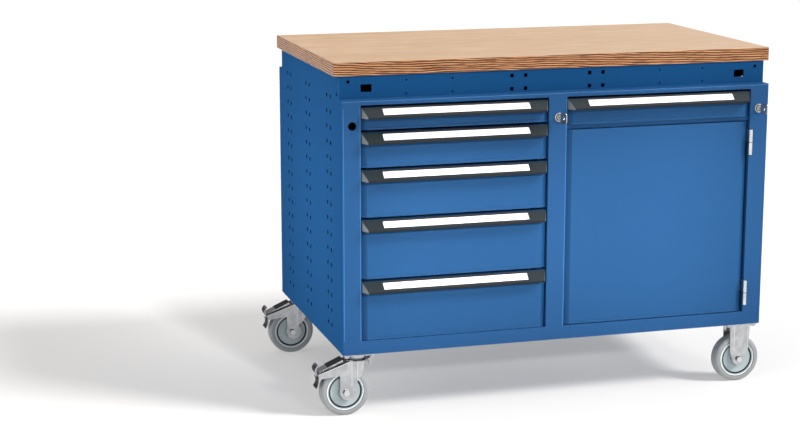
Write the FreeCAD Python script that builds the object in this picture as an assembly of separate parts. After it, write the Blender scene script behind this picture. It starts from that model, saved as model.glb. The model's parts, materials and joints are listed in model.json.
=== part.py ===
import FreeCAD, Part
import os
import math

V = FreeCAD.Vector
os.makedirs("parts", exist_ok=True)

# Mobile steel workbench: beech worktop, drawer stack on the left, one drawer over a
# cupboard on the right, two braked swivel castors on the left and two fixed ones on
# the right. Millimetres. Everything is drawn about the bench's own centre line
# (X right, Y to the back, Z up, floor at 0) and moved once, in put(), so that the
# origin is the middle of the overall box on the floor.

# ---- overall
HEIGHT = 860.0
TOP_LENGTH = 1120.0
TOP_DEPTH = 606.0
TOP_THICK = 33.0
TOP_ROUND = 1.5
UNDERSIDE = 158.0

# ---- cabinet shell
CAB_WIDTH = 1095.0
CAB_DEPTH = 664.0
CAB_TOP = 773.0
UPPER_DEPTH = 600.0
SHEET = 1.5
FLANGE = 30.0
TURNED_CLEAR = 1.0
TOP_RAIL = 10.0
BOTTOM_RAIL = 33.5
FRAME_TUBE = 30.0
LEFT_BAY = (-502.5, -33.0)
RIGHT_BAY = (13.5, 500.0)
PARTITION_X = -16.5
CROSS_RAIL_Z = (681.5, 690.5)
CROSS_RAIL_SET_BACK = 10.0

# ---- punched holes in the upper front rail
HOLE_PITCH = 32.0
HOLE_MID_Z = 797.5
PAIR_HOLE_R = 2.25
PAIR_HOLE_X = (-381.5, -267.0, 267.0, 381.5)
SQUARE = 9.0
SQUARE_PITCH = 35.0
SQUARE_X = (-100.0, 100.0)
CABLE_SLOT = (27.0, 18.0)
CABLE_SLOT_X = 480.5
CORNER_HOLE_R = 4.0
CORNER_HOLE_X = 524.0

# ---- square holes in the side panels
SIDE_COLUMNS = (-204.0, 10.0, 213.0)
SIDE_PAIR = 35.5
SIDE_HOLE = 9.0
SIDE_PITCH = 37.5
SIDE_ROWS = 16
SIDE_FIRST_Z = 207.0
SIDE_CORNER_HOLE = (-282.0, 783.0)

# ---- drawer and door fronts
GRID = 30.0
DRAWER_UNITS = (5, 5, 4, 3, 2)
FRONT_SHEET = 1.2
FACE_BACK = 3.0
FRONT_DEPTH = 21.0
SIDE_GAP = 1.8
BEVEL_WIDE = 14.0
BEVEL_DEEP = 8.0
LIP_TALL = 4.5
LIP_OUT = 2.0
FOOT_GAP = 1.0
HEAD_GAP = 6.0
RIGHT_DRAWER_Z = 692.0
DOOR_Z = (193.5, 679.5)
DOOR_EDGE_X = 496.5
STIFFENER_GAP = 2.0

# ---- handle strip
HANDLE_DROP = 24.5
HANDLE_OUT = 24.0
HANDLE_WALL = 2.0
HANDLE_NOSE = 4.0
HANDLE_CAP = 50.0
HANDLE_TAPER = 10.5
HANDLE_END_GAP = 0.6
LABEL_WALL = 0.8
LABEL_FROM = 0.20
LABEL_TO = 0.80
LABEL_END_GAP = 1.0

# ---- drawer trays and runners
TRAY_SIDE_GAP = 14.0
TRAY_BACK_Y = 262.0
TRAY_SHEET = 1.0
TRAY_FOOT = 8.0
TRAY_HEAD = 12.0
RAIL_TALL = 24.0
RAIL_UP = 20.0
RAIL_GAP = 3.0
RUNNER_TALL = 28.0
RUNNER_WIDE = 10.4
RUNNER_OFF = 0.6
RUNNER_Y = (-300.0, 300.0)
UPRIGHT_WIDE = 40.0
UPRIGHT_Y = (-300.0, 240.0)
SHELF_Z = 430.0
SHELF_EDGE = 20.0
SHELF_Y = (-285.0, 320.0)

# ---- locks and hinges
LOCK_Z = 713.0
LOCK_X = (-8.0, 522.0)
SPARE_LOCK_X = -523.0
LOCK_R = 11.0
LOCK_BODY_R = 9.0
LOCK_PROUD = 3.0
LOCK_DEEP = 20.0
LOCK_FLOOR = 1.0
LOCK_HOLE_R = 9.2
SPARE_HOLE_R = 10.0
PLUG_R = 6.0
RUN_GAP = 0.05
KEY_PROUD = 34.0
KEY_THICK = 2.5
KEY_FOLD = 20.0
SHANK_TALL = 8.0
BOW_WIDE = 22.0
BOW_TALL = 26.0
BOW_ROUND = 6.0
BOW_HOLE_R = 3.0
BOW_HOLE_IN = 7.0
HINGE_X = 501.0
HINGE_OUT = 5.5
HINGE_R = 5.0
HINGE_PIN_R = 2.5
HINGE_PIN_UP = 26.0
HINGE_BORE_SPARE = 1.0
KNUCKLE = 31.5
KNUCKLE_GAP = 0.4
HINGE_Z = (211.0, 597.0)
HINGE_LEAF = 2.0
LEAF_SHORT = 2.0

# ---- castors
CASTOR_X = 504.0
CASTOR_Y = 288.0
TRAIL = 32.0
WHEEL_R = 60.0
CORE_R = 47.0
TYRE_WIDE = 34.0
TYRE_ROUND = 7.0
HUB_R = 14.0
HUB_HALF = 20.0
HUB_FOOT = (16.0, 11.0)
DISC_HALF = 13.0
DISC_BRIM = 2.0
GROOVE_R = (38.5, 41.5)
GROOVE_FLOOR = 8.0
RIM_HALF = 15.0
PLATE = 84.0
PLATE_THICK = 3.0
PLATE_ROUND = 8.0
BOLT_PITCH = 64.0
BOLT_R = 4.0
BOLT_HOLE_R = 4.5
BOLT_HEAD_R = 7.5
BOLT_HEAD = 5.3
HEAD_R = (21.0, 25.0)
CROWN_R = 28.0
CROWN_X = (-30.0, 12.0)
CROWN_Z = (134.0, 138.0)
SWIVEL_GAP = 0.4
KINGPIN_R = 6.0
KINGPIN_FOOT_Z = 124.0
NUT_R = 8.0
LEG_IN = 21.0
LEG_THICK = 3.0
LEG_SET_IN = 3.1
LEG_FOOT_X = 5.0
LEG_FOOT_R = 20.0
SWIVEL_FOLD = (14.0, 29.0, 44.0)
HORN_TIP = (-101.0, 109.0, 98.0)
HORN_SLANT = 3.0
HORN_ROOT_Z = 103.0
LEG_FRONT = ((3.0, 76.0), (2.0, 87.0), (0.0, 110.0))
FRONT_WEB_Z = 114.0
STOP_TAB_X = (26.0, 34.0)
STOP_TAB_WIDE = 22.0
STOP_TAB_Z = (122.0, 151.0)
FIXED_FOLD = (-24.0, -14.5, 23.0, 31.0)
FIXED_FOOT_R = 16.0
FIXED_WAIST = ((1.0, 78.0), (3.0, 84.0))
AXLE_R = 5.0
AXLE_HEAD_R = 7.5
AXLE_HEAD = 6.0
PEDAL_PIVOT = (-31.0, 127.0)
PEDAL_PIN_R = 3.5
PEDAL_BOSS_R = 5.5
PEDAL_HALF = 16.0
PEDAL_THICK = 3.0
PEDAL_TIP = 107.0
TREAD_HEAD = (7.0, 134.0, 141.0)
TREAD_TIP = (4.0, 107.0, 113.5)
TREAD_ROOT = (12.0, 5.0, 126.0)
HOOK_BEND = 5.5
HOOK_Z = (106.0, 130.0)
SHOE_BEND = 5.0
SHOE_HEAD = (2.0, 108.0)
SHOE_FOOT = (-1.0, 73.0)
PEDAL_PIN_PROUD = 1.0

# ---- where the faces fall
FRONT = -CAB_DEPTH / 2.0
BACK = CAB_DEPTH / 2.0
SIDE = CAB_WIDTH / 2.0
INSIDE = SIDE - SHEET
FACE = FRONT + FACE_BACK
FRONT_TAIL = FACE + FRONT_DEPTH
TOP_UNDER = HEIGHT - TOP_THICK
OPEN_FOOT = UNDERSIDE + BOTTOM_RAIL
OPEN_HEAD = CAB_TOP - SHEET - TOP_RAIL
FRAME_BACK = FRONT + FRAME_TUBE
FRAME_DX = (PEDAL_TIP - WHEEL_R) / 2.0
FRAME_DY = KEY_PROUD / 2.0


def put(name, solids):
    """Move the solids to the frame's origin and write them as one node."""
    shape = solids[0] if len(solids) == 1 else Part.makeCompound(solids)
    shape = shape.copy()
    shape.translate(V(FRAME_DX, FRAME_DY, 0))
    shape.exportStep("parts/" + name + ".step")


def box(x0, x1, y0, y1, z0, z1):
    return Part.makeBox(x1 - x0, y1 - y0, z1 - z0, V(x0, y0, z0))


def rod(radius, start, direction, length):
    return Part.makeCylinder(radius, length, V(*start), V(*direction))


def prism(points, lift):
    """Closed outline swept straight along lift."""
    loop = [V(*p) for p in points]
    return Part.Face(Part.makePolygon(loop + [loop[0]])).extrude(V(*lift))


def plan(points, z0, z1):
    """Outline drawn from above, from height z0 to z1."""
    return prism([(x, y, z0) for x, y in points], (0, 0, z1 - z0))


def hexagon(radius, start, direction, length):
    x, y, z = start
    points = []
    for k in range(6):
        a = math.radians(60 * k)
        u = radius * math.cos(a)
        v = radius * math.sin(a)
        points.append((x + u, y, z + v) if direction[1] else (x + u, y + v, z))
    return prism(points, tuple(c * length for c in direction))


def tube(x0, x1, y0, y1, z0, z1, along, wall):
    """Rectangular tube, open at both ends of the named axis."""
    wx = 0 if along == "x" else wall
    wz = 0 if along == "z" else wall
    core = box(x0 + wx, x1 - wx, y0 + wall, y1 - wall, z0 + wz, z1 - wz)
    return box(x0, x1, y0, y1, z0, z1).cut(core)


# ---------------------------------------------------------------- shell

def worktop():
    half = TOP_LENGTH / 2.0
    deep = TOP_DEPTH / 2.0
    board = box(-half, half, -deep, deep, TOP_UNDER, HEIGHT)
    return board.makeFillet(TOP_ROUND, board.Edges)


def side_holes(side):
    """Pairs of square holes in three columns, and one by the front corner."""
    spots = [SIDE_CORNER_HOLE]
    for column in SIDE_COLUMNS:
        for offset in (-SIDE_PAIR / 2.0, SIDE_PAIR / 2.0):
            for row in range(SIDE_ROWS):
                spots.append((column + offset, SIDE_FIRST_Z + row * SIDE_PITCH))
    x = min(side * INSIDE, side * SIDE)
    h = SIDE_HOLE / 2.0
    return [box(x, x + SHEET, y - h, y + h, z - h, z + h) for y, z in spots]


def side_panel(side):
    """One sheet: full cabinet depth below, narrower up to the worktop, top edge turned in."""
    x = sorted((side * INSIDE, side * SIDE))
    upper = UPPER_DEPTH / 2.0
    panel = box(x[0], x[1], FRONT, BACK, UNDERSIDE, CAB_TOP)
    panel = panel.fuse(box(x[0], x[1], -upper, upper, CAB_TOP, TOP_UNDER))
    turned = sorted((side * INSIDE, side * (INSIDE - FLANGE)))
    reach = upper - SHEET - FLANGE - TURNED_CLEAR
    panel = panel.fuse(box(turned[0], turned[1], -reach, reach, TOP_UNDER - SHEET, TOP_UNDER))
    return panel.removeSplitter().cut(Part.makeCompound(side_holes(side)))


def upper_rail(face_y, inward):
    """Channel that joins the cabinet top to the worktop; inward is +1 for the front one."""
    y = sorted((face_y, face_y + inward * SHEET))
    f = sorted((face_y + inward * SHEET, face_y + inward * (SHEET + FLANGE)))
    rail = box(-INSIDE, INSIDE, y[0], y[1], CAB_TOP, TOP_UNDER)
    rail = rail.fuse(box(-INSIDE, INSIDE, f[0], f[1], CAB_TOP, CAB_TOP + SHEET))
    rail = rail.fuse(box(-INSIDE, INSIDE, f[0], f[1], TOP_UNDER - SHEET, TOP_UNDER))
    return rail.removeSplitter()


def upper_front_rail():
    y = -UPPER_DEPTH / 2.0
    rail = upper_rail(y, 1)
    half = HOLE_PITCH / 2.0
    tools = []
    for x in PAIR_HOLE_X:
        for z in (HOLE_MID_Z - half, HOLE_MID_Z + half):
            tools.append(rod(PAIR_HOLE_R, (x, y, z), (0, 1, 0), SHEET))
    for x in (-CORNER_HOLE_X, CORNER_HOLE_X):
        tools.append(rod(CORNER_HOLE_R, (x, y, HOLE_MID_Z + half), (0, 1, 0), SHEET))
    w = CABLE_SLOT[0] / 2.0
    h = CABLE_SLOT[1] / 2.0
    for x in (-CABLE_SLOT_X, CABLE_SLOT_X):
        tools.append(box(x - w, x + w, y, y + SHEET, HOLE_MID_Z - h, HOLE_MID_Z + h))
    s = SQUARE / 2.0
    for mid in SQUARE_X:
        for x in (mid - SQUARE_PITCH / 2.0, mid + SQUARE_PITCH / 2.0):
            for z in (HOLE_MID_Z - half, HOLE_MID_Z + half):
                tools.append(box(x - s, x + s, y, y + SHEET, z - s, z + s))
    return rail.cut(Part.makeCompound(tools))


def stile(x0, x1, hole_x, hole_r):
    post = tube(x0, x1, FRONT, FRAME_BACK, UNDERSIDE, CAB_TOP - SHEET, "z", SHEET)
    return post.cut(rod(hole_r, (hole_x, FRONT, LOCK_Z), (0, 1, 0), SHEET))


def front_frame():
    """Three posts, the rails between them, and the cross rail between drawer and door."""
    posts = [stile(-INSIDE, LEFT_BAY[0], SPARE_LOCK_X, SPARE_HOLE_R),
             stile(LEFT_BAY[1], RIGHT_BAY[0], LOCK_X[0], LOCK_HOLE_R),
             stile(RIGHT_BAY[1], INSIDE, LOCK_X[1], LOCK_HOLE_R)]
    rails = []
    for x0, x1 in (LEFT_BAY, RIGHT_BAY):
        rails.append(tube(x0, x1, FRONT, FRAME_BACK, UNDERSIDE, OPEN_FOOT, "x", SHEET))
        rails.append(tube(x0, x1, FRONT, FRAME_BACK, OPEN_HEAD, CAB_TOP - SHEET, "x", SHEET))
    rails.append(box(RIGHT_BAY[0], RIGHT_BAY[1], FRONT + CROSS_RAIL_SET_BACK, FRAME_BACK,
                     CROSS_RAIL_Z[0], CROSS_RAIL_Z[1]))
    return posts + rails


def cabinet_top():
    return box(-INSIDE, INSIDE, FRONT, BACK, CAB_TOP - SHEET, CAB_TOP)


def base_panel():
    return box(-INSIDE, INSIDE, FRAME_BACK, BACK - SHEET, UNDERSIDE, UNDERSIDE + SHEET)


def back_panel():
    return box(-INSIDE, INSIDE, BACK - SHEET, BACK, UNDERSIDE, CAB_TOP - SHEET)


def partition():
    return box(PARTITION_X, PARTITION_X + SHEET, FRAME_BACK, BACK - SHEET,
               UNDERSIDE + SHEET, CAB_TOP - SHEET)


def shelf():
    """Cupboard shelf with its front and back edges turned down."""
    x0 = PARTITION_X + SHEET
    sheet = box(x0, INSIDE, SHELF_Y[0], SHELF_Y[1], SHELF_Z - SHEET, SHELF_Z)
    for y in (SHELF_Y[0], SHELF_Y[1] - SHEET):
        sheet = sheet.fuse(box(x0, INSIDE, y, y + SHEET, SHELF_Z - SHELF_EDGE, SHELF_Z - SHEET))
    return sheet.removeSplitter()


def upright(wall_x, bay_x, y, z0, z1):
    """Channel from a cabinet wall to the edge of a bay; the runners are screwed to its web."""
    inward = 1 if bay_x > wall_x else -1
    x = sorted((wall_x, bay_x + inward * RUNNER_OFF))
    piece = box(x[0], x[1], y, y + UPRIGHT_WIDE, z0, z1)
    core = sorted((wall_x, bay_x + inward * (RUNNER_OFF - SHEET)))
    return piece.cut(box(core[0], core[1], y + SHEET, y + UPRIGHT_WIDE - SHEET, z0, z1))


def uprights():
    """Four tall ones in the drawer bay, four short ones over the cupboard."""
    low = UNDERSIDE + SHEET
    high = CAB_TOP - SHEET
    pieces = []
    for y in UPRIGHT_Y:
        pieces.append(upright(-INSIDE, LEFT_BAY[0], y, low, high))
        pieces.append(upright(PARTITION_X, LEFT_BAY[1], y, low, high))
        pieces.append(upright(PARTITION_X + SHEET, RIGHT_BAY[0], y, CROSS_RAIL_Z[1], high))
        pieces.append(upright(INSIDE, RIGHT_BAY[1], y, CROSS_RAIL_Z[1], high))
    return pieces


def runner(edge, inward, mid_z):
    """Channel that holds one drawer rail; inward points into the bay."""
    half = RUNNER_TALL / 2.0
    x = sorted((edge + inward * RUNNER_OFF, edge + inward * (RUNNER_OFF + RUNNER_WIDE)))
    core = sorted((edge + inward * (RUNNER_OFF + SHEET),
                   edge + inward * (RUNNER_OFF + RUNNER_WIDE)))
    piece = box(x[0], x[1], RUNNER_Y[0], RUNNER_Y[1], mid_z - half, mid_z + half)
    return piece.cut(box(core[0], core[1], RUNNER_Y[0], RUNNER_Y[1],
                         mid_z - half + SHEET, mid_z + half - SHEET))


# ---------------------------------------------------------------- drawers and door

def front_outline(x0, x1, inset, out):
    """Plan of a front: upright edges bevelled back; inset shrinks it by a sheet."""
    a = x0 + inset
    b = x1 - inset
    face = FACE - out + inset
    shoulder = face + BEVEL_DEEP
    return [(a, FRONT_TAIL), (a, shoulder), (x0 + BEVEL_WIDE + inset / 2.0, face),
            (x1 - BEVEL_WIDE - inset / 2.0, face), (b, shoulder), (b, FRONT_TAIL)]


def front_pan(x0, x1, z0, z1):
    """Folded sheet front with a narrow lip standing out along its bottom edge."""
    pan = plan(front_outline(x0, x1, 0, 0), z0, z1)
    pan = pan.fuse(plan(front_outline(x0, x1, 0, LIP_OUT), z0, z0 + LIP_TALL))
    core = plan(front_outline(x0, x1, FRONT_SHEET, 0), z0 + FRONT_SHEET, z1 - FRONT_SHEET)
    return pan.removeSplitter().cut(core)


def tray(bay, z0, z1):
    """Open sheet box with a hollow rail along each side."""
    x0 = bay[0] + TRAY_SIDE_GAP
    x1 = bay[1] - TRAY_SIDE_GAP
    low = z0 + TRAY_FOOT
    high = z1 - TRAY_HEAD
    t = TRAY_SHEET
    bin_ = box(x0, x1, FRONT_TAIL, TRAY_BACK_Y, low, high)
    bin_ = bin_.cut(box(x0 + t, x1 - t, FRONT_TAIL + t, TRAY_BACK_Y - t, low + t, high))
    solids = [bin_]
    mid = z0 + TRAY_FOOT + RAIL_UP
    half = RAIL_TALL / 2.0
    for a, b in ((bay[0] + RAIL_GAP, x0), (x1, bay[1] - RAIL_GAP)):
        bar = box(a, b, RUNNER_Y[0], TRAY_BACK_Y, mid - half, mid + half)
        bar = bar.cut(box(a + t, b - t, RUNNER_Y[0], TRAY_BACK_Y, mid - half + t, mid + half - t))
        solids.append(bar)
    return solids


def handle_section(x, top):
    """Bent strip seen from the side: a sloping face, a nose under it, a web on the front."""
    w = HANDLE_WALL
    out = FACE - HANDLE_OUT
    foot = top - HANDLE_DROP
    return [(x, FACE, top), (x, out, foot + HANDLE_NOSE), (x, out, foot),
            (x, out + w, foot), (x, out + w, foot + HANDLE_NOSE - w / 2.0),
            (x, FACE - w, top - w * 2.0), (x, FACE - w, top - HANDLE_DROP / 2.0),
            (x, FACE, top - HANDLE_DROP / 2.0)]


def handle_cap(end, inner, top):
    """Wedge that closes one end of the strip; its outer face leans in towards the front."""
    toward = 1 if inner > end else -1
    out = FACE - HANDLE_OUT
    foot = top - HANDLE_DROP
    wedge = prism([(end, FACE, top), (end, out, foot + HANDLE_NOSE), (end, out, foot),
                   (end, FACE, foot)], (inner - end, 0, 0))
    x = end + toward * HANDLE_TAPER
    slice_ = prism([(end, FACE, foot), (end, out, foot), (x, out, foot)], (0, 0, HANDLE_DROP))
    wedge = wedge.cut(slice_)
    # hollow from below, so that fingers reach behind the face
    w = HANDLE_WALL
    near = end + toward * (HANDLE_TAPER + w)
    hollow = prism([(near, FACE - w, top - 3 * w), (near, out + w, foot + HANDLE_NOSE - w),
                    (near, out + w, foot), (near, FACE - w, foot)], (inner - near, 0, 0))
    return wedge.cut(hollow)


def handle(x0, x1, top):
    strip = prism(handle_section(x0 + HANDLE_CAP, top), (x1 - x0 - 2 * HANDLE_CAP, 0, 0))
    return [strip,
            handle_cap(x0 + HANDLE_END_GAP, x0 + HANDLE_CAP, top),
            handle_cap(x1 - HANDLE_END_GAP, x1 - HANDLE_CAP, top)]


def label(x0, x1, top):
    """Thin label strip lying on the sloping face of the handle."""
    rise = HANDLE_DROP - HANDLE_NOSE
    length = math.hypot(rise, HANDLE_OUT)
    ny = -rise / length * LABEL_WALL
    nz = HANDLE_OUT / length * LABEL_WALL
    a = (FACE - HANDLE_OUT * LABEL_FROM, top - rise * LABEL_FROM)
    b = (FACE - HANDLE_OUT * LABEL_TO, top - rise * LABEL_TO)
    x = x0 + HANDLE_CAP + LABEL_END_GAP
    points = [(x, a[0], a[1]), (x, b[0], b[1]), (x, b[0] + ny, b[1] + nz),
              (x, a[0] + ny, a[1] + nz)]
    return prism(points, (x1 - x0 - 2 * (HANDLE_CAP + LABEL_END_GAP), 0, 0))


def write_drawer(name, bay, z0, z1):
    x0 = bay[0] + SIDE_GAP
    x1 = bay[1] - SIDE_GAP
    put(name + "_front", [front_pan(x0, x1, z0, z1)])
    put(name + "_tray", tray(bay, z0, z1))
    put(name + "_handle", handle(x0, x1, z1))
    put(name + "_label", [label(x0, x1, z1)])
    mid = z0 + TRAY_FOOT + RAIL_UP
    return [runner(bay[0], 1, mid), runner(bay[1], -1, mid)]


def write_drawers():
    """Left stack from the bottom up on the drawer grid, then the single right drawer."""
    runners = []
    z = OPEN_FOOT
    number = len(DRAWER_UNITS)
    for units in DRAWER_UNITS:
        top = z + units * GRID
        runners += write_drawer("drawer_left_%d" % number, LEFT_BAY, z + FOOT_GAP, top - HEAD_GAP)
        z = top
        number -= 1
    runners += write_drawer("drawer_right", RIGHT_BAY, RIGHT_DRAWER_Z, OPEN_HEAD - HEAD_GAP)
    put("drawer_runners", runners)


def door_panel():
    x0 = RIGHT_BAY[0] + SIDE_GAP
    pan = front_pan(x0, DOOR_EDGE_X, DOOR_Z[0], DOOR_Z[1])
    # two stiffening strips across the back of the sheet
    third = (DOOR_Z[1] - DOOR_Z[0]) / 3.0
    for k in (1, 2):
        z = DOOR_Z[0] + k * third
        pan = pan.fuse(box(x0 + FRONT_SHEET, DOOR_EDGE_X - FRONT_SHEET,
                           FACE + BEVEL_DEEP + STIFFENER_GAP, FRONT_TAIL, z - FRONT_SHEET, z))
    return pan


def frame_knuckle(z0):
    """Lower half of a hinge, with the pin standing up out of it and a foot on the post."""
    y = FRONT - HINGE_OUT
    knuckle = rod(HINGE_R, (HINGE_X, y, z0), (0, 0, 1), KNUCKLE)
    knuckle = knuckle.fuse(box(HINGE_X, HINGE_X + HINGE_R, y, FRONT, z0, z0 + KNUCKLE))
    return knuckle.fuse(rod(HINGE_PIN_R, (HINGE_X, y, z0), (0, 0, 1), KNUCKLE + HINGE_PIN_UP))


def door_knuckle(z0):
    """Upper half of a hinge, bored for the pin, with a leaf on the edge of the door."""
    y = FRONT - HINGE_OUT
    z = z0 + KNUCKLE + KNUCKLE_GAP
    knuckle = rod(HINGE_R, (HINGE_X, y, z), (0, 0, 1), KNUCKLE)
    leaf = box(DOOR_EDGE_X, DOOR_EDGE_X + HINGE_LEAF, y, FRONT_TAIL - LEAF_SHORT, z, z + KNUCKLE)
    deep = HINGE_PIN_UP + HINGE_BORE_SPARE
    bore = rod(HINGE_PIN_R + RUN_GAP, (HINGE_X, y, z), (0, 0, 1), deep)
    return knuckle.fuse(leaf).cut(bore)


# ---------------------------------------------------------------- locks

def lock_housing(x):
    barrel = rod(LOCK_R, (x, FRONT - LOCK_PROUD, LOCK_Z), (0, 1, 0), LOCK_PROUD)
    barrel = barrel.fuse(rod(LOCK_BODY_R, (x, FRONT, LOCK_Z), (0, 1, 0), LOCK_DEEP))
    length = LOCK_PROUD + LOCK_DEEP - LOCK_FLOOR
    return barrel.cut(rod(PLUG_R + RUN_GAP, (x, FRONT - LOCK_PROUD, LOCK_Z), (0, 1, 0), length))


def key(x):
    """Lock plug and the key in it: shank, then an upright rounded bow folded to one side."""
    face = FRONT - LOCK_PROUD
    plug = rod(PLUG_R, (x, face, LOCK_Z), (0, 1, 0), LOCK_DEEP)
    t = KEY_THICK / 2.0
    half = BOW_TALL / 2.0
    fold = math.radians(KEY_FOLD)
    hinge_y = FRONT - KEY_PROUD + BOW_WIDE * math.cos(fold) + t * math.sin(fold)
    bow = box(x - t, x + t, hinge_y - BOW_WIDE, hinge_y, LOCK_Z - half, LOCK_Z + half)
    bow = bow.makeFillet(BOW_ROUND, [e for e in bow.Edges if abs(e.tangentAt(0).x) > 0.9])
    hole_y = hinge_y - BOW_WIDE + BOW_HOLE_IN
    bow = bow.cut(rod(BOW_HOLE_R, (x - t, hole_y, LOCK_Z), (1, 0, 0), KEY_THICK))
    bow.rotate(V(x, hinge_y, LOCK_Z), V(0, 0, 1), KEY_FOLD)
    shank_half = SHANK_TALL / 2.0
    shank = box(x - t, x + t, hinge_y - t, face, LOCK_Z - shank_half, LOCK_Z + shank_half)
    return [plug, bow.fuse(shank)]


# ---------------------------------------------------------------- castors

def tyre(x, y):
    half = TYRE_WIDE / 2.0
    ring = rod(WHEEL_R, (x, y - half, WHEEL_R), (0, 1, 0), TYRE_WIDE)
    rims = [e for e in ring.Edges if e.Curve.TypeId == "Part::GeomCircle"]
    ring = ring.makeFillet(TYRE_ROUND, rims)
    return ring.cut(rod(CORE_R, (x, y - half, WHEEL_R), (0, 1, 0), TYRE_WIDE))


def wheel_core(x, y):
    """Turned about the axle: hub, dished disc, a groove, then the rim under the tyre."""
    outline = [(AXLE_R + RUN_GAP, HUB_HALF), (HUB_R, HUB_HALF), HUB_FOOT,
               (GROOVE_R[0] - DISC_BRIM, DISC_HALF), (GROOVE_R[0], DISC_HALF),
               (GROOVE_R[0], GROOVE_FLOOR), (GROOVE_R[1], GROOVE_FLOOR),
               (GROOVE_R[1], RIM_HALF), (CORE_R, RIM_HALF)]
    loop = outline + [(r, -w) for r, w in reversed(outline)]
    points = [V(x + r, y + w, WHEEL_R) for r, w in loop]
    face = Part.Face(Part.makePolygon(points + [points[0]]))
    return face.revolve(V(x, y, WHEEL_R), V(0, 1, 0), 360)


def axle(x, y):
    reach = LEG_IN + LEG_THICK
    bolt = rod(AXLE_R, (x, y - reach, WHEEL_R), (0, 1, 0), 2 * reach)
    for start in (y - reach - AXLE_HEAD, y + reach):
        bolt = bolt.fuse(hexagon(AXLE_HEAD_R, (x, start, WHEEL_R), (0, 1, 0), AXLE_HEAD))
    return bolt


def bolt_spots(x, y):
    b = BOLT_PITCH / 2.0
    return [(x - b, y - b), (x - b, y + b), (x + b, y - b), (x + b, y + b)]


def top_plate(x, y):
    half = PLATE / 2.0
    z = UNDERSIDE - PLATE_THICK
    plate = box(x - half, x + half, y - half, y + half, z, UNDERSIDE)
    corners = [e for e in plate.Edges if abs(e.tangentAt(0).z) > 0.9]
    plate = plate.makeFillet(PLATE_ROUND, corners)
    holes = [rod(BOLT_HOLE_R, (a, b, z), (0, 0, 1), PLATE_THICK) for a, b in bolt_spots(x, y)]
    return plate.cut(Part.makeCompound(holes))


def plate_bolts(x, y):
    z = UNDERSIDE - PLATE_THICK
    bolts = []
    for a, b in bolt_spots(x, y):
        head = hexagon(BOLT_HEAD_R, (a, b, z - BOLT_HEAD), (0, 0, 1), BOLT_HEAD)
        bolts.append(head.fuse(rod(BOLT_R, (a, b, z), (0, 0, 1), PLATE_THICK)))
    return bolts


def fork_leg(y, side, stations, outline, foot, foot_r):
    """Pressed leg: its plan steps in towards the wheel at the folds, its side view is the
    outline with a round foot, and its thickness is the same all along."""
    outer = LEG_IN + LEG_THICK
    wall = [(a, y + side * (outer - inset)) for a, inset in stations]
    wall += [(a, y + side * (LEG_IN - inset)) for a, inset in reversed(stations)]
    foot_z = WHEEL_R - foot_r
    sheet = plan(wall, foot_z, UNDERSIDE)
    start = min(y, y + side * outer)
    profile = prism([(a, start, b) for a, b in outline], (0, outer, 0))
    profile = profile.fuse(rod(foot_r, (foot, start, WHEEL_R), (0, 1, 0), outer))
    return sheet.common(profile)


def swivel_head(x, y):
    """Top plate, ball-race housing under it, and the kingpin with its nut."""
    floor = CROWN_Z[1] + SWIVEL_GAP
    top = UNDERSIDE - PLATE_THICK
    head = Part.makeCone(HEAD_R[0], HEAD_R[1], top - floor, V(x, y, floor))
    head = head.fuse(top_plate(x, y))
    head = head.fuse(rod(KINGPIN_R, (x, y, KINGPIN_FOOT_Z), (0, 0, 1), floor - KINGPIN_FOOT_Z))
    nut = CROWN_Z[0] - SWIVEL_GAP - KINGPIN_FOOT_Z
    return head.fuse(hexagon(NUT_R, (x, y, KINGPIN_FOOT_Z), (0, 0, 1), nut))


def stop_tab(x, y):
    """Tab bent up in front of the crown, the stop for the swivel lock."""
    half = STOP_TAB_WIDE / 2.0
    tab = box(x + STOP_TAB_X[0], x + STOP_TAB_X[1], y - half, y + half, *CROWN_Z)
    return tab.fuse(box(x + STOP_TAB_X[1] - LEG_THICK, x + STOP_TAB_X[1], y - half, y + half,
                        *STOP_TAB_Z))


def swivel_fork(x, y):
    """Crown, two pressed legs joined by a web in front, each with a horn over the wheel.
    LEG_FRONT gives how far past each fold the front edge of the leg runs, and its height."""
    axle_x = x - TRAIL
    folds = [axle_x + a for a in SWIVEL_FOLD]
    tip, tip_top, tip_foot = HORN_TIP
    foot_x = axle_x + LEG_FOOT_X
    back = foot_x - LEG_FOOT_R
    outline = [(folds[2], CROWN_Z[1]), (x - TRAIL / 2.0, CROWN_Z[1]), (x + tip, tip_top),
               (x + tip + HORN_SLANT, tip_foot), (back, HORN_ROOT_Z), (back, WHEEL_R),
               (foot_x + LEG_FOOT_R, WHEEL_R)]
    outline += [(fold + past, z) for fold, (past, z) in zip(folds, LEG_FRONT)]
    stations = [(x + tip, 0), (folds[0], 0), (folds[1], LEG_SET_IN), (folds[2], LEG_SET_IN)]
    half = LEG_IN - LEG_SET_IN
    crown = rod(CROWN_R, (x, y, CROWN_Z[0]), (0, 0, 1), CROWN_Z[1] - CROWN_Z[0])
    crown = crown.fuse(box(x + CROWN_X[0], x + CROWN_X[1], y - half, y + half, *CROWN_Z))
    fork = crown.fuse(stop_tab(x, y))
    fork = fork.fuse(box(folds[2] - LEG_THICK, folds[2], y - half, y + half,
                         FRONT_WEB_Z, CROWN_Z[1]))
    for side in (-1, 1):
        fork = fork.fuse(fork_leg(y, side, stations, outline, foot_x, LEG_FOOT_R))
    deep = LEG_IN + LEG_THICK
    px, pz = PEDAL_PIVOT
    fork = fork.cut(rod(PEDAL_PIN_R + RUN_GAP, (x + px, y - deep, pz), (0, 1, 0), 2 * deep))
    fork = fork.cut(rod(AXLE_R, (axle_x, y - deep, WHEEL_R), (0, 1, 0), 2 * deep))
    hole = CROWN_Z[1] - CROWN_Z[0]
    fork = fork.cut(rod(KINGPIN_R + RUN_GAP, (x, y, CROWN_Z[0]), (0, 0, 1), hole))
    return [fork, axle(axle_x, y)]


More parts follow.
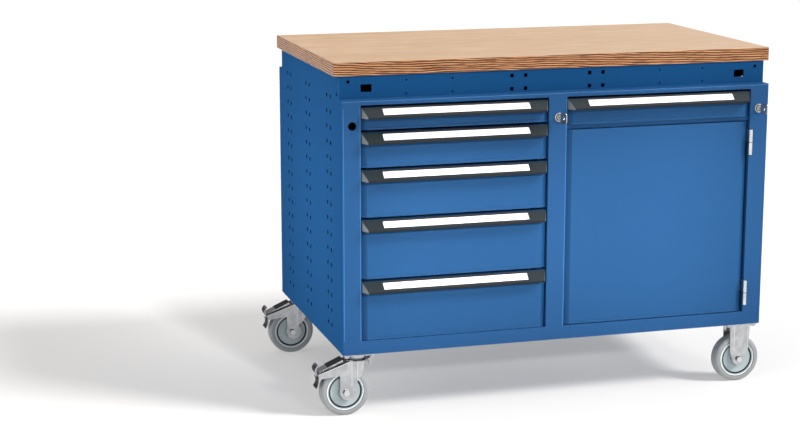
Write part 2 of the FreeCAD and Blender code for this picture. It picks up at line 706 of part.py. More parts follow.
def curved_strip(x, y, points, bulge, thick, half):
    """Strip of even thickness bent to an arc through its two ends, bulging sideways."""
    (x0, z0), (x1, z1) = points
    wall = []
    for offset in (0, thick):
        mid = V(x + (x0 + x1) / 2.0 + bulge + offset, y, (z0 + z1) / 2.0)
        start = V(x + x0 + offset, y, z0)
        end = V(x + x1 + offset, y, z1)
        wall.append((start, mid, end))
    (a, b, c), (d, e, f) = wall
    edges = [Part.Arc(a, b, c).toShape(), Part.makeLine(c, f),
             Part.Arc(f, e, d).toShape(), Part.makeLine(d, a)]
    face = Part.Face(Part.Wire(edges))
    face.translate(V(0, -half, 0))
    return face.extrude(V(0, 2 * half, 0))


def brake_pedal(x, y):
    """Sloping tread between the fork legs, a hooked tip, and a shoe bent round the tyre.
    TREAD_HEAD, TREAD_TIP and TREAD_ROOT are its two ends and the foot of its boss: how far
    each lies from the pivot or the tip, and its heights."""
    t = PEDAL_THICK
    px, pz = PEDAL_PIVOT
    tip = -PEDAL_TIP + t
    head_in, head_foot, head_top = TREAD_HEAD
    tip_in, tip_foot, tip_top = TREAD_TIP
    root_out, root_in, root_z = TREAD_ROOT
    outline = [(px - head_in, head_foot), (px - head_in, head_top), (tip + tip_in, tip_top),
               (tip + tip_in, tip_foot), (px - root_out, root_z), (px - root_in, root_z)]
    tread = prism([(x + a, y - PEDAL_HALF, b) for a, b in outline], (0, 2 * PEDAL_HALF, 0))
    tread = tread.fuse(rod(PEDAL_BOSS_R, (x + px, y - PEDAL_HALF, pz), (0, 1, 0), 2 * PEDAL_HALF))
    hook_x = tip + HOOK_BEND - t
    hook_ends = [(hook_x, HOOK_Z[1]), (hook_x, HOOK_Z[0])]
    hook = curved_strip(x, y, hook_ends, -HOOK_BEND, t, PEDAL_HALF)
    shoe_ends = [(tip + a, b) for a, b in (SHOE_HEAD, SHOE_FOOT)]
    shoe = curved_strip(x, y, shoe_ends, SHOE_BEND, t, PEDAL_HALF)
    reach = LEG_IN + LEG_THICK + PEDAL_PIN_PROUD
    pin = rod(PEDAL_PIN_R, (x + px, y - reach, pz), (0, 1, 0), 2 * reach)
    return tread.fuse(hook).fuse(shoe).fuse(pin)


def fixed_fork(x, y):
    """Top plate with two pressed legs hanging from it, their long edges stepped in.
    FIXED_WAIST gives where each long edge turns in towards the round foot."""
    top = UNDERSIDE - PLATE_THICK
    left, left_fold, right_fold, right = [x + a for a in FIXED_FOLD]
    r = FIXED_FOOT_R
    (left_past, left_z), (right_past, right_z) = FIXED_WAIST
    outline = [(left, top), (right, top), (right_fold + right_past, right_z), (x + r, WHEEL_R),
               (x - r, WHEEL_R), (left + left_past, left_z)]
    stations = [(left, LEG_SET_IN), (left_fold, 0), (right_fold, 0), (right, LEG_SET_IN)]
    fork = top_plate(x, y)
    for side in (-1, 1):
        fork = fork.fuse(fork_leg(y, side, stations, outline, x, r))
    deep = LEG_IN + LEG_THICK
    fork = fork.cut(rod(AXLE_R, (x, y - deep, WHEEL_R), (0, 1, 0), 2 * deep))
    return [fork, axle(x, y)]


def write_castors():
    bolts = []
    for place, y in (("front", -CASTOR_Y), ("rear", CASTOR_Y)):
        left = "castor_%s_left" % place
        put(left + "_plate", [swivel_head(-CASTOR_X, y)])
        put(left + "_fork", swivel_fork(-CASTOR_X, y))
        put(left + "_pedal", [brake_pedal(-CASTOR_X, y)])
        put(left + "_wheel", [wheel_core(-CASTOR_X - TRAIL, y)])
        put(left + "_tyre", [tyre(-CASTOR_X - TRAIL, y)])
        right = "castor_%s_right" % place
        put(right + "_fork", fixed_fork(CASTOR_X, y))
        put(right + "_wheel", [wheel_core(CASTOR_X, y)])
        put(right + "_tyre", [tyre(CASTOR_X, y)])
        bolts += plate_bolts(-CASTOR_X, y) + plate_bolts(CASTOR_X, y)
    put("castor_bolts", bolts)


put("worktop", [worktop()])
put("side_panel_left", [side_panel(-1)])
put("side_panel_right", [side_panel(1)])
put("upper_rail_front", [upper_front_rail()])
put("upper_rail_back", [upper_rail(UPPER_DEPTH / 2.0, -1)])
put("front_frame", front_frame())
put("cabinet_top", [cabinet_top()])
put("base_panel", [base_panel()])
put("back_panel", [back_panel()])
put("partition", [partition()])
put("cupboard_shelf", [shelf()])
put("runner_uprights", uprights())
write_drawers()
put("door_panel", [door_panel()])
put("door_hinge_frame_halves", [frame_knuckle(z) for z in HINGE_Z])
put("door_hinge_door_halves", [door_knuckle(z) for z in HINGE_Z])
put("lock_housings", [lock_housing(x) for x in LOCK_X])
put("key_middle", key(LOCK_X[0]))
put("key_right", key(LOCK_X[1]))
write_castors()
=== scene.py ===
import json
import math

import bmesh
import bpy
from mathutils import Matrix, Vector


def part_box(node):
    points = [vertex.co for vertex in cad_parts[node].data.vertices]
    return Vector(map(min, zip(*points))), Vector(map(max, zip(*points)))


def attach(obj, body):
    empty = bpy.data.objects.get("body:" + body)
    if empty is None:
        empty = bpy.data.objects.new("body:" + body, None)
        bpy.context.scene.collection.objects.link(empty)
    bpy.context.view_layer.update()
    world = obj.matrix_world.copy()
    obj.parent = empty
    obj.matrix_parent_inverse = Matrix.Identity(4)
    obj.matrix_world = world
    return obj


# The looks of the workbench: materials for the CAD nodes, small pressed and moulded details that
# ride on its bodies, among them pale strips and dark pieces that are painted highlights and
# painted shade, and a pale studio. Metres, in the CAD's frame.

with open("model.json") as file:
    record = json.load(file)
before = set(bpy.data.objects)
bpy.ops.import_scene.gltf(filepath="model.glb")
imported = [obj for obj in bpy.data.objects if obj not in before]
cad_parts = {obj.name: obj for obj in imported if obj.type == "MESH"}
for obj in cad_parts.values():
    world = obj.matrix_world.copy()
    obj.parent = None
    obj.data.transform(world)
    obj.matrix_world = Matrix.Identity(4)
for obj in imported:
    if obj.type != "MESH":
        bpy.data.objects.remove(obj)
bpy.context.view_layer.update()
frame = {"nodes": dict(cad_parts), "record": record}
NODES = frame["nodes"]
RECORD = frame["record"]
DRAWERS = ["drawer_left_%d" % n for n in range(1, 6)] + ["drawer_right"]
SWIVEL_CASTORS = ["castor_front_left", "castor_rear_left"]
FIXED_CASTORS = ["castor_front_right", "castor_rear_right"]
CASTORS = SWIVEL_CASTORS + FIXED_CASTORS

MM = 0.001

# the field of punched holes in the side sheets, clear of the sheets' own cut edges
SHEET_LOW, SHEET_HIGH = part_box("side_panel_left")
HOLES_MID_Y = (SHEET_LOW.y + SHEET_HIGH.y) / 2
HOLES_REACH = (SHEET_HIGH.y - SHEET_LOW.y) / 2 - 40 * MM
HOLES_FOOT = SHEET_LOW.z + 10 * MM
HOLES_TOP = SHEET_HIGH.z - 12 * MM

# painted shade: share of the paint's colour kept on the cut wall of a punched hole, darkened to
# stand for the shade inside the hole
WALL_SHADE = 0.05
# height of one light and dark pair of layers in the worktop's edge
VENEER_PAIR = 5.4 * MM


# ---------------------------------------------------------------- shader helpers

def new_material(name, color, roughness, metallic=0.0):
    """A Principled material; colour is linear RGB."""
    material = bpy.data.materials.new(name)
    material.use_nodes = True
    shader = material.node_tree.nodes["Principled BSDF"]
    shader.inputs["Base Color"].default_value = (*color, 1)
    shader.inputs["Roughness"].default_value = roughness
    shader.inputs["Metallic"].default_value = metallic
    return material, material.node_tree, shader


def add(tree, kind, **settings):
    """New shader node; each setting goes to the socket, or else the property, of that name."""
    node = tree.nodes.new(kind)
    for key, value in settings.items():
        if key in node.inputs:
            node.inputs[key].default_value = value
        else:
            setattr(node, key, value)
    return node


def feed(tree, value, socket):
    """Link another node's output into the socket, or set a plain number or colour on it."""
    if isinstance(value, bpy.types.NodeSocket):
        tree.links.new(value, socket)
    else:
        socket.default_value = value


def coordinates(tree, kind="Object"):
    return add(tree, "ShaderNodeTexCoord").outputs[kind]


def stretched(tree, scale):
    """Object coordinates scaled by axis, for grain and brushing."""
    mapping = add(tree, "ShaderNodeMapping", Scale=scale)
    tree.links.new(coordinates(tree), mapping.inputs["Vector"])
    return mapping.outputs["Vector"]


def split_xyz(tree, vector):
    node = add(tree, "ShaderNodeSeparateXYZ")
    tree.links.new(vector, node.inputs["Vector"])
    return node.outputs


def noise(tree, vector, scale, detail=3.0, roughness=0.5):
    node = add(tree, "ShaderNodeTexNoise", Scale=scale, Detail=detail, Roughness=roughness)
    tree.links.new(vector, node.inputs["Vector"])
    return node.outputs["Fac"]


def ramp(tree, value, stops):
    """Colour ramp from (position, linear colour) pairs."""
    node = add(tree, "ShaderNodeValToRGB")
    band = node.color_ramp
    while len(band.elements) < len(stops):
        band.elements.new(0.5)
    for element, (position, color) in zip(band.elements, stops):
        element.position = position
        element.color = (*color, 1)
    tree.links.new(value, node.inputs["Fac"])
    return node.outputs["Color"]


def math_node(tree, operation, *values):
    node = add(tree, "ShaderNodeMath", operation=operation)
    for value, socket in zip(values, node.inputs):
        feed(tree, value, socket)
    return node.outputs["Value"]


def mix_color(tree, factor, a, b, blend="MIX"):
    node = add(tree, "ShaderNodeMix", data_type="RGBA", blend_type=blend)
    for value, socket in ((factor, "Factor"), (a, "A"), (b, "B")):
        feed(tree, value, node.inputs[socket])
    return node.outputs["Result"]


def bump(tree, shader, height, strength, distance):
    node = add(tree, "ShaderNodeBump", Strength=strength, Distance=distance)
    tree.links.new(height, node.inputs["Height"])
    tree.links.new(node.outputs["Normal"], shader.inputs["Normal"])


# ---------------------------------------------------------------- materials

def hole_wall_shade_mask(tree):
    """One where the sheet faces along Y or Z inside the field of punched holes, else nought: the
    hole walls that get painted shade.
    """
    facing = split_xyz(tree, add(tree, "ShaderNodeNewGeometry").outputs["True Normal"])
    place = split_xyz(tree, coordinates(tree))
    aside = math_node(tree, "SUBTRACT", place["Y"], HOLES_MID_Y)
    tests = [
        math_node(tree, "LESS_THAN", math_node(tree, "ABSOLUTE", facing["X"]), 0.5),
        math_node(tree, "LESS_THAN", math_node(tree, "ABSOLUTE", aside), HOLES_REACH),
        math_node(tree, "LESS_THAN", place["Z"], HOLES_TOP),
        math_node(tree, "GREATER_THAN", place["Z"], HOLES_FOOT),
    ]
    wall = tests[0]
    for test in tests[1:]:
        wall = math_node(tree, "MULTIPLY", wall, test)
    return wall


def powder_coat(name, color, shine, painted_hole_shade=False):
    """Satin powder coat: fine orange peel and a slight drift in gloss. When asked for, the
    narrow cut walls of the punched holes are painted dark, as painted shade inside the holes."""
    material, tree, shader = new_material(name, color, 0.42)
    shader.inputs["Specular IOR Level"].default_value = shine
    vector = stretched(tree, (1, 1, 1))
    bump(tree, shader, noise(tree, vector, 900, 2), 0.10, 0.0004)
    drift = math_node(tree, "MULTIPLY_ADD", noise(tree, vector, 6, 2), 0.10, 0.37)
    tree.links.new(drift, shader.inputs["Roughness"])
    if painted_hole_shade:
        # painted shade on the cut walls of the punched holes
        shade = tuple(WALL_SHADE * c for c in color)
        tone = ramp(tree, hole_wall_shade_mask(tree), [(0.0, color), (1.0, shade)])
        tree.links.new(tone, shader.inputs["Base Color"])
    return material


def ply_face(tree, grain):
    """Oiled face: pale grain, boards that drift in tone, and a painted sheen that makes it paler
    towards the right-hand end.
    """
    face = ramp(tree, grain, [(0.30, (0.48, 0.285, 0.155)), (0.46, (0.60, 0.400, 0.250)),
                              (0.60, (0.65, 0.460, 0.315)), (0.75, (0.70, 0.520, 0.375))])
    board = noise(tree, stretched(tree, (0.5, 6, 1)), 2.2, 2)
    tone = ramp(tree, board, [(0.35, (0.90, 0.86, 0.82)), (0.65, (1.0, 1.0, 1.0))])
    toned = mix_color(tree, 0.8, face, tone, "MULTIPLY")
    # painted sheen: paler towards the right-hand end, where the light falls on the worktop
    across = split_xyz(tree, coordinates(tree, "Generated"))["X"]
    pale = ramp(tree, across, [(0.0, (0.0, 0.0, 0.0)), (1.0, (0.16, 0.16, 0.16))])
    return mix_color(tree, pale, toned, (0.86, 0.74, 0.62, 1))


def ply_edge(tree):
    """Cut edge: wavy light and dark layers, streaked along the board."""
    place = split_xyz(tree, coordinates(tree))
    run = math_node(tree, "SUBTRACT", place["X"], place["Y"])
    slant = math_node(tree, "MULTIPLY", run, 0.030)
    wave = math_node(tree, "MULTIPLY", noise(tree, stretched(tree, (6, 6, 20)), 1.0, 2), 0.016)
    height = math_node(tree, "ADD", math_node(tree, "ADD", place["Z"], wave), slant)
    saw = math_node(tree, "FRACT", math_node(tree, "MULTIPLY", height, 1.0 / VENEER_PAIR))
    layers = ramp(tree, saw, [(0.0, (0.012, 0.004, 0.002)), (0.22, (0.10, 0.030, 0.010)),
                              (0.38, (0.52, 0.22, 0.080)), (0.62, (0.70, 0.39, 0.19)),
                              (0.84, (0.28, 0.090, 0.026)), (1.0, (0.012, 0.004, 0.002))])
    streak = noise(tree, stretched(tree, (26, 26, 520)), 1.0, 4, 0.65)
    tone = ramp(tree, streak, [(0.38, (0.34, 0.22, 0.14)), (0.52, (1, 1, 1))])
    return mix_color(tree, 0.85, layers, tone, "MULTIPLY")


def plywood():
    """Beech ply: grain on the flat faces, layers on the edges."""
    material, tree, shader = new_material("beech_ply", (0.76, 0.55, 0.39), 0.42)
    grain = noise(tree, stretched(tree, (1.2, 16, 16)), 9, 6, 0.6)
    facing = split_xyz(tree, add(tree, "ShaderNodeNewGeometry").outputs["Normal"])
    flat = math_node(tree, "GREATER_THAN", math_node(tree, "ABSOLUTE", facing["Z"]), 0.6)
    color = mix_color(tree, flat, ply_edge(tree), ply_face(tree, grain))
    tree.links.new(color, shader.inputs["Base Color"])
    bump(tree, shader, grain, 0.08, 0.0005)
    shader.inputs["Specular IOR Level"].default_value = 0.35
    return material


def zinc(name, color, roughness):
    """Plated steel with faint cloudy variation."""
    material, tree, shader = new_material(name, color, roughness, 1.0)
    vector = stretched(tree, (1, 1, 1))
    cloud = noise(tree, vector, 60, 4)
    dark = tuple(c * 0.80 for c in color)
    tree.links.new(ramp(tree, cloud, [(0.35, dark), (0.65, color)]), shader.inputs["Base Color"])
    bump(tree, shader, noise(tree, vector, 400, 2), 0.08, 0.0003)
    return material


def plastic(name, color, roughness, grain=0.05):
    """Moulded plastic with a very fine grain."""
    material, tree, shader = new_material(name, color, roughness)
    bump(tree, shader, noise(tree, stretched(tree, (1, 1, 1)), 1500, 2), grain, 0.0002)
    return material


def handle_plastic(name, color):
    """Anthracite plastic; the slanted end faces are painted a lighter grey as a highlight, and
    the nose is painted black as shade.
    """
    material = plastic(name, color, 0.42)
    tree = material.node_tree
    facing = split_xyz(tree, add(tree, "ShaderNodeNewGeometry").outputs["True Normal"])
    across = math_node(tree, "ABSOLUTE", facing["X"])
    # painted highlight: the slanted end faces, facing along X, are made a lighter grey where the
    # side light falls
    tone = ramp(tree, across, [(0.4, color), (0.6, (0.17, 0.185, 0.185))])
    # painted shade: the nose, facing the front, is made near black
    nose_shade_mask = math_node(tree, "LESS_THAN", facing["Y"], -0.9)
    black = ramp(tree, nose_shade_mask, [(0.0, (1, 1, 1)), (1.0, (0.12, 0.12, 0.12))])
    shader = tree.nodes["Principled BSDF"]
    tree.links.new(mix_color(tree, 1.0, tone, black, "MULTIPLY"), shader.inputs["Base Color"])
    shader.inputs["Specular IOR Level"].default_value = 0.35
    return material


def make_materials():
    """The record's slots, and a few looks that stand in for a slot on single pieces."""
    chrome, _, _ = new_material("chrome", (0.66, 0.67, 0.69), 0.16, 1.0)
    void_black, _, shader = new_material("void_black", (0.0, 0.0, 0.0), 1.0)
    shader.inputs["Specular IOR Level"].default_value = 0.0
    return {
        "blue_shell": powder_coat("blue_shell", (0.0150, 0.068, 0.180), 0.085),
        # a lighter copy of the blue paint for the side sheets, painted light standing for light
        # on the sides; its hole walls carry painted shade
        "blue_side": powder_coat("blue_side", (0.0175, 0.090, 0.245), 0.0, True),
        # a darker copy of the blue paint for the rails, painted shade under the worktop's edge
        "blue_rail": powder_coat("blue_rail", (0.0075, 0.060, 0.172), 0.015),
        "blue_front": powder_coat("blue_front", (0.0145, 0.068, 0.178), 0.085),
        # a lighter copy of the blue paint, the painted highlight on the strips along the folds
        "blue_painted_highlight": powder_coat("blue_painted_highlight", (0.040, 0.150, 0.360), 0.3),
        "lock_metal": zinc("lock_metal", (0.62, 0.62, 0.63), 0.24),
        "hinge_metal": zinc("hinge_metal", (0.74, 0.75, 0.76), 0.14),
        "void_black": void_black,
        "beech": plywood(),
        "zinc_runner": zinc("zinc_runner", (0.60, 0.61, 0.62), 0.42),
        "handle_grey": handle_plastic("handle_grey", (0.008, 0.014, 0.017)),
        "label_white": plastic("label_white", (0.95, 0.95, 0.94), 0.5, 0.0),
        "chrome": chrome,
        "zinc": zinc("zinc", (0.56, 0.57, 0.59), 0.24),
        "wheel_grey": plastic("wheel_grey", (0.38, 0.455, 0.48), 0.28),
        "tyre_grey": plastic("tyre_grey", (0.275, 0.29, 0.30), 0.5, 0.15),
        "pedal_black": plastic("pedal_black", (0.004, 0.004, 0.005), 0.55),
    }


MATERIALS = make_materials()
SLOT_OF = {part["node"]: part["material_slot"] for part in RECORD["subparts"]}


def paint(obj, slot, look=None):
    """Give the whole mesh the slot's material, or another look."""
    obj.data.materials.clear()
    obj.data.materials.append(MATERIALS[look or slot])
    for face in obj.data.polygons:
        face.material_index = 0


# how far the sharp edges of each node are rounded, by the end of its name
EDGE_ROUND = [
    ("front_frame", 1.6 * MM),
    ("cabinet_top", 0.7 * MM),
    ("door_panel", 0.8 * MM),
    ("_fork", 0.7 * MM),
    ("_pedal", 0.7 * MM),
    ("_plate", 0.7 * MM),
    ("castor_bolts", 0.6 * MM),
    ("lock_housings", 0.6 * MM),
    ("key_middle", 0.4 * MM),
    ("key_right", 0.4 * MM),
]
EDGE_ROUND += [(drawer + "_front", 0.7 * MM) for drawer in DRAWERS]
EDGE_ROUND += [(drawer + "_handle", 0.5 * MM) for drawer in DRAWERS]


def soften(obj, width):
    """Weld the imported mesh and round its sharp edges so that they catch the light."""
    weld = obj.modifiers.new("weld", "WELD")
    weld.merge_threshold = 0.01 * MM
    bevel = obj.modifiers.new("bevel", "BEVEL")
    bevel.width = width
    bevel.segments = 2
    bevel.limit_method = "ANGLE"
    bevel.angle_limit = math.radians(40)
    bevel.harden_normals = True


# nodes whose look differs from their slot's
NODE_LOOK = {
    "lock_housings": "lock_metal",
    "key_middle": "lock_metal",
    "key_right": "lock_metal",
    "door_hinge_frame_halves": "hinge_metal",
    "door_hinge_door_halves": "hinge_metal",
}

for name, node in NODES.items():
    paint(node, SLOT_OF[name], NODE_LOOK.get(name))
    for ending, width in EDGE_ROUND:
        if name.endswith(ending):
            soften(node, width)


# ---------------------------------------------------------------- shape helpers

def finish_piece(bm, name, slot, body, look=None):
    """Turn the bmesh into a painted object that rides on the body."""
    mesh = bpy.data.meshes.new(name)
    bmesh.ops.recalc_face_normals(bm, faces=bm.faces)
    bm.to_mesh(mesh)
    bm.free()
    obj = bpy.data.objects.new(name, mesh)
    bpy.context.scene.collection.objects.link(obj)
    paint(obj, slot, look)
    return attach(obj, body)


def ring(bm, centre, axis, outer, inner, thick, steps=64):
    """Flat washer about an axis ('y' or 'z'), centred at its middle."""
    loops = []
    for radius, lift in ((outer, -thick / 2), (outer, thick / 2), (inner, thick / 2),
                         (inner, -thick / 2)):
        loop = []
        for k in range(steps):
            a = 2 * math.pi * k / steps
            u, v = radius * math.cos(a), radius * math.sin(a)
            offset = Vector((u, lift, v)) if axis == "y" else Vector((u, v, lift))
            loop.append(bm.verts.new(centre + offset))
        loops.append(loop)
    for a, b in zip(loops, loops[1:] + loops[:1]):
        for k in range(steps):
            n = (k + 1) % steps
            bm.faces.new((a[k], a[n], b[n], b[k]))


def disc(bm, centre, axis, radius, thick):
    """Round plate: a washer with a pinhole."""
    ring(bm, centre, axis, radius, 0.05 * MM, thick)


def prism(bm, front, back):
    """Closed body between two matching loops of points."""
    front = [bm.verts.new(point) for point in front]
    back = [bm.verts.new(point) for point in back]
    bm.faces.new(front)
    bm.faces.new(list(reversed(back)))
    count = len(front)
    for k in range(count):
        n = (k + 1) % count
        bm.faces.new((front[k], back[k], back[n], front[n]))


def slab(bm, outline, y0, y1):
    """Closed outline in X and Z swept from y0 to y1."""
    prism(bm, [(x, y0, z) for x, z in outline], [(x, y1, z) for x, z in outline])


def strip(bm, path, thick, y0, y1):
    """Strip of even thickness along a path in X and Z, laid on its left side."""
    outline = [Vector(p) for p in path]
    edge = []
    for k, point in enumerate(outline):
        before = outline[max(k - 1, 0)]
        after = outline[min(k + 1, len(outline) - 1)]
        along = (after - before).normalized()
        edge.append(point + Vector((-along.y, along.x)) * thick)
    slab(bm, [tuple(p) for p in outline] + [tuple(p) for p in reversed(edge)], y0, y1)


def block(bm, x0, x1, y0, y1, z0, z1):
    slab(bm, [(x0, z0), (x1, z0), (x1, z1), (x0, z1)], y0, y1)


def arc_path(start, bulge, end, steps=10):
    """Points of a shallow arc in X and Z from start to end, pushed out by bulge in X."""
    path = []
    for k in range(steps + 1):
        t = k / steps
        x = start[0] + (end[0] - start[0]) * t + bulge * 4 * t * (1 - t)
        path.append((x, start[1] + (end[1] - start[1]) * t))
    return path


# ---------------------------------------------------------------- drawer details

# the back of the label lies on the sloping face of the handle; it starts this far below the
# top of the label's box and ends this far behind the front of it
LABEL_HEAD_DROP = 0.61 * MM
LABEL_FOOT_INSET = 0.52 * MM
# start and end of the channel walls, as shares of the label's slope counted from its top
CHANNEL_SPANS = ((-0.32, -0.015), (1.015, 1.09))
CHANNEL_LIFT = 0.05 * MM
CHANNEL_THICK = 0.5 * MM


def label_groove_shade(drawer):
    """Black channel walls above and below the label on the sloping face of the handle, painted
    shade for the grooves there.
    """
    low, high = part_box(drawer + "_label")
    head = Vector((high.y, high.z - LABEL_HEAD_DROP))
    foot = Vector((low.y + LABEL_FOOT_INSET, low.z))
    along = foot - head
    out = Vector((along.y, -along.x)).normalized()
    bm = bmesh.new()
    for start, end in CHANNEL_SPANS:
        a = head + along * start + out * CHANNEL_LIFT
        b = head + along * end + out * CHANNEL_LIFT
        section = (a, b, b + out * CHANNEL_THICK, a + out * CHANNEL_THICK)
        prism(bm, [(low.x, p.x, p.y) for p in section], [(high.x, p.x, p.y) for p in section])
    finish_piece(bm, drawer + "_label_groove_shade", "pedal_black", drawer)


for drawer_name in DRAWERS:
    label_groove_shade(drawer_name)


# ---------------------------------------------------------------- locks and hinges

PLUG_RING_OUT = 8.2 * MM
PLUG_RING_IN = 6.2 * MM
# the spare hole, from the left edge of the front frame, and the black disc deep inside it,
# painted shade for the hole's dark inside
SPARE_HOLE_IN = 23 * MM
SPARE_SHADE_DEEP = 9 * MM
SPARE_SHADE_R = 9.9 * MM

HINGE_R = 5 * MM
KNUCKLE = 31.5 * MM
SEAM_PROUD = 0.25 * MM
SEAM_IN = 3.2 * MM
SEAM_TALL = 1.4 * MM


def lock_faces():
    """Dark ring round the middle of each lock; a black disc deep in the spare hole, painted
    shade for the hole's dark inside.
    """
    low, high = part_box("lock_housings")
    middle_z = (low.z + high.z) / 2
    radius = (high.z - low.z) / 2
    rings = bmesh.new()
    for x in (low.x + radius, high.x - radius):
        centre = Vector((x, low.y - 0.1 * MM, middle_z))
        ring(rings, centre, "y", PLUG_RING_OUT, PLUG_RING_IN, 0.4 * MM)
    finish_piece(rings, "lock_rings", "pedal_black", "frame")
    frame_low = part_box("front_frame")[0]
    hole_shade_disc = bmesh.new()
    centre = Vector((frame_low.x + SPARE_HOLE_IN, frame_low.y + SPARE_SHADE_DEEP, middle_z))
    disc(hole_shade_disc, centre, "y", SPARE_SHADE_R, 1.0 * MM)
    finish_piece(hole_shade_disc, "spare_hole_shade", "pedal_black", "frame", "void_black")


def hinge_seams():
    """Dark seam round each hinge barrel where its two halves meet."""
    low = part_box("door_hinge_frame_halves")[0]
    door_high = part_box("door_hinge_door_halves")[1]
    bm = bmesh.new()
    for z in (low.z + KNUCKLE, door_high.z - KNUCKLE):
        centre = Vector((low.x + HINGE_R, low.y + HINGE_R, z))
        ring(bm, centre, "z", HINGE_R + SEAM_PROUD, SEAM_IN, SEAM_TALL)
    finish_piece(bm, "hinge_seams", "pedal_black", "frame", "void_black")


lock_faces()
hinge_seams()


# ---------------------------------------------------------------- folded edges, painted highlights

FOLD_WIDE = 1.5 * MM
LEDGE_FOLD_DROP = 3.2 * MM
POST_FOLD_IN = 0.6 * MM
OPENING_FOLD_OUT = 4.2 * MM


def frame_fold_highlights():
    """Paler strips painted as highlights along the folds of the ledge and of the posts, at the
    left end and just left of each column of fronts."""
    low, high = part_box("front_frame")
    left_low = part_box("drawer_left_5_front")[0]
    right_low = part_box("drawer_right_front")[0]
    fronts_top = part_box("drawer_left_1_front")[1].z
    ledge_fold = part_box("cabinet_top")[1].z - LEDGE_FOLD_DROP
    y0, y1 = low.y - 0.2 * MM, low.y + 0.3 * MM
    bm = bmesh.new()
    block(bm, low.x, high.x, y0, y1, ledge_fold, ledge_fold + FOLD_WIDE)
    post_folds = (low.x + POST_FOLD_IN, left_low.x - OPENING_FOLD_OUT,
                  right_low.x - OPENING_FOLD_OUT)
    for x in post_folds:
        block(bm, x, x + FOLD_WIDE, y0, y1, left_low.z, fronts_top)
    finish_piece(bm, "frame_fold_highlights", "blue_shell", "frame", "blue_painted_highlight")


frame_fold_highlights()


# ---------------------------------------------------------------- castor details

FORK_BODY = {castor: castor + "_swivel" for castor in SWIVEL_CASTORS}
FORK_BODY.update({castor: "frame" for castor in FIXED_CASTORS})

# rings on both sides of a wheel, in millimetres: outer and inner radius, thickness, and how
# far the middle of the ring is from the middle of the wheel
GROOVE = (41.8, 37.4, 1.2, 12.8)
TYRE_SEAM = (47.6, 46.2, 1.0, 15.2)
RIM_LINE = (46.0, 44.2, 1.0, 15.2)
HUB_RING = (22.0, 19.0, 2.4, 12.6)

AXLE_CAP_R = 6.8 * MM
AXLE_END = 30.4 * MM


def wheel_middle(castor):
    low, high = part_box(castor + "_tyre")
    return (low + high) / 2


def axle_caps(castor):
    """Bright heads on both ends of the axle bolt."""
    bm = bmesh.new()
    for side in (-1, 1):
        centre = wheel_middle(castor) + Vector((0, side * AXLE_END, 0))
        disc(bm, centre, "y", AXLE_CAP_R, 1.0 * MM)
    finish_piece(bm, castor + "_axle_caps", "chrome", FORK_BODY[castor])


def wheel_rings(castor, name, slot, rings):
    bm = bmesh.new()
    for side in (-1, 1):
        for outer, inner, thick, aside in rings:
            centre = wheel_middle(castor) + Vector((0, side * aside * MM, 0))
            ring(bm, centre, "y", outer * MM, inner * MM, thick * MM)
    finish_piece(bm, castor + name, slot, castor + "_wheel")


# the pedal's blackened parts, in millimetres: X from its tip, and height above the floor
TREAD_ROOT = (69, 141)
TREAD_FALL = 27.5 / 62
GRIP_LONG = 38
GRIP_FOOT = (TREAD_ROOT[0] - GRIP_LONG, TREAD_ROOT[1] - GRIP_LONG * TREAD_FALL)
HOOK_BACK = arc_path((5.6, 108), -5.6, (5.6, 129))
SHOE_BACK = arc_path((2.0, 74), 5.0, (5.0, 100))
PEDAL_STRIPS = [([GRIP_FOOT, TREAD_ROOT], 1.6), (HOOK_BACK, 0.8), (SHOE_BACK, 0.8)]
PEDAL_HALF_WIDE = 15 * MM


def pedal_details(castor):
    """Black grip on the inner half of the tread and black backs on hook and shoe."""
    low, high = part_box(castor + "_pedal")
    middle_y = (low.y + high.y) / 2
    bm = bmesh.new()
    for path, thick in PEDAL_STRIPS:
        placed = [(low.x + x * MM, z * MM) for x, z in path]
        strip(bm, placed, thick * MM, middle_y - PEDAL_HALF_WIDE, middle_y + PEDAL_HALF_WIDE)
    finish_piece(bm, castor + "_grip", "pedal_black", castor + "_brake")


# all in millimetres: the outer face of a fork leg from the middle of the wheel, and how deep and
# how proud of that face a highlight strip is
LEG_FACE = 24
HIGHLIGHT_SUNK = 0.4
HIGHLIGHT_PROUD = 0.8
# each fold has two ends, given as X from the axle, height above the floor and how far the sheet
# steps in from the leg's outer face, and then the width of its highlight strip
SWIVEL_FOLDS = [((14, 76, 0), (14, 136, 0), 2.4), ((29, 89, 3.1), (29, 136, 3.1), 2.4),
                ((43, 112, 3.1), (43, 136, 3.1), 2.0), ((-68, 109.5, 0), (10, 136.5, 0), 2.0)]
FIXED_FOLDS = [((-14.5, 82, 0), (-14.5, 153, 0), 2.6), ((23, 84, 0), (23, 153, 0), 2.0)]


def fork_fold_highlights(castor, folds):
    """Slightly raised chrome strips along the folds and free edges of both fork legs, brighter
    than the fork as painted highlights on the folds.
    """
    middle = wheel_middle(castor)
    bm = bmesh.new()
    for side in (-1, 1):
        for (x0, z0, in0), (x1, z1, in1), wide in folds:
            along = Vector((x1 - x0, z1 - z0)).normalized()
            across = Vector((along.y, -along.x)) * wide / 2
            corners = ((x0, z0, in0, -1), (x1, z1, in1, -1), (x1, z1, in1, 1), (x0, z0, in0, 1))
            loops = []
            for lift in (-HIGHLIGHT_SUNK, HIGHLIGHT_PROUD):
                loops.append([(middle.x + (x + turn * across.x) * MM,
                               middle.y + side * (LEG_FACE - step + lift) * MM,
                               (z + turn * across.y) * MM) for x, z, step, turn in corners])
            prism(bm, *loops)
    finish_piece(bm, castor + "_fork_fold_highlights", "chrome", FORK_BODY[castor])


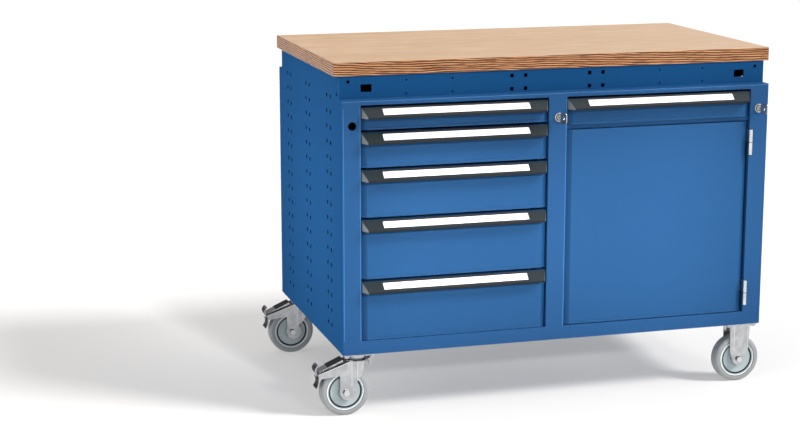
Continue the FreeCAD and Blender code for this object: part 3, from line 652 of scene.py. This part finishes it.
for castor_name in CASTORS:
    axle_caps(castor_name)
    wheel_rings(castor_name, "_dark_rings", "pedal_black", (GROOVE, TYRE_SEAM))
    wheel_rings(castor_name, "_rim_rings", "label_white", (RIM_LINE,))
    wheel_rings(castor_name, "_hub_rings", "wheel_grey", (HUB_RING,))
for castor_name in SWIVEL_CASTORS:
    pedal_details(castor_name)
    fork_fold_highlights(castor_name, SWIVEL_FOLDS)
for castor_name in FIXED_CASTORS:
    fork_fold_highlights(castor_name, FIXED_FOLDS)


# ---------------------------------------------------------------- studio

FLOOR_SIDE = 200
# X of the points on the front that the soft spots are aimed at: two on the drawers and two on
# the door
POOL_AT = (-0.46, -0.18, 0.18, 0.42)


def add_lamp(name, kind, energy, towards):
    lamp = bpy.data.objects.new(name, bpy.data.lights.new(name, kind))
    lamp.data.energy = energy
    lamp.rotation_euler = towards.to_track_quat("-Z", "Y").to_euler()
    bpy.context.scene.collection.objects.link(lamp)
    return lamp


def sun(name, energy, angle, direction):
    lamp = add_lamp(name, "SUN", energy, Vector(direction))
    lamp.data.angle = math.radians(angle)


def pool(name, power, half_angle, place, target):
    """Soft-edged spot that lifts the middle of one face."""
    lamp = add_lamp(name, "SPOT", power, Vector(target) - Vector(place))
    lamp.data.spot_size = math.radians(2 * half_angle)
    lamp.data.spot_blend = 1.0
    lamp.data.shadow_soft_size = 0.3
    lamp.location = place


def lay_floor():
    """Wide pale floor that glows a little, so that it runs out into white."""
    bpy.ops.mesh.primitive_plane_add(size=FLOOR_SIDE, location=(0, 0, 0))
    floor = bpy.context.object
    floor.name = "floor"
    material, _, shader = new_material("floor", (0.55, 0.54, 0.53), 0.9)
    shader.inputs["Specular IOR Level"].default_value = 0.1
    shader.inputs["Emission Color"].default_value = (1.0, 0.982, 0.965, 1)
    shader.inputs["Emission Strength"].default_value = 0.335
    floor.data.materials.append(material)


def hang_sky():
    """Bright overhead, darker towards the horizon, so that metal shows its shape."""
    world = bpy.data.worlds.new("studio")
    world.use_nodes = True
    tree = world.node_tree
    up = split_xyz(tree, coordinates(tree, "Generated"))["Z"]
    sky = ramp(tree, up, [(0.0, (0.12, 0.12, 0.12)), (0.25, (0.20, 0.20, 0.20)),
                          (1.0, (0.62, 0.62, 0.62))])
    tree.links.new(sky, tree.nodes["Background"].inputs["Color"])
    tree.nodes["Background"].inputs["Strength"].default_value = 1.0
    bpy.context.scene.world = world


def studio():
    lay_floor()
    hang_sky()
    sun("key", 3.7, 16, (-0.78, 0.50, -0.75))
    sun("overhead", 0.4, 70, (0.05, 0.12, -1.0))
    sun("fill", 1.6, 60, (0.95, 0.25, -0.12))
    for k, x in enumerate(POOL_AT):
        pool("pool_%d" % k, 1000, 3.8, (x + 0.6, -3.2, 1.6), (x, -0.31, 0.43))
    pool("side_pool", 420, 4.4, (-4.2, -1.2, 0.5), (-0.55, -0.05, 0.46))
    bpy.context.scene.view_settings.view_transform = "Standard"


# front view from the left; turn and dip are in degrees, the lens in millimetres
CAMERA_AT = (-1.6035, -4.5043, 1.4084)
CAMERA_TURN = 16.24
CAMERA_DIP = 12.02
LENS = 84.41


def camera():
    data = bpy.data.cameras.new("camera")
    data.lens = LENS
    data.sensor_width = 36
    obj = bpy.data.objects.new("camera", data)
    obj.location = CAMERA_AT
    obj.rotation_euler = (math.radians(90 - CAMERA_DIP), 0, math.radians(-CAMERA_TURN))
    bpy.context.scene.collection.objects.link(obj)
    bpy.context.scene.camera = obj


studio()
camera()
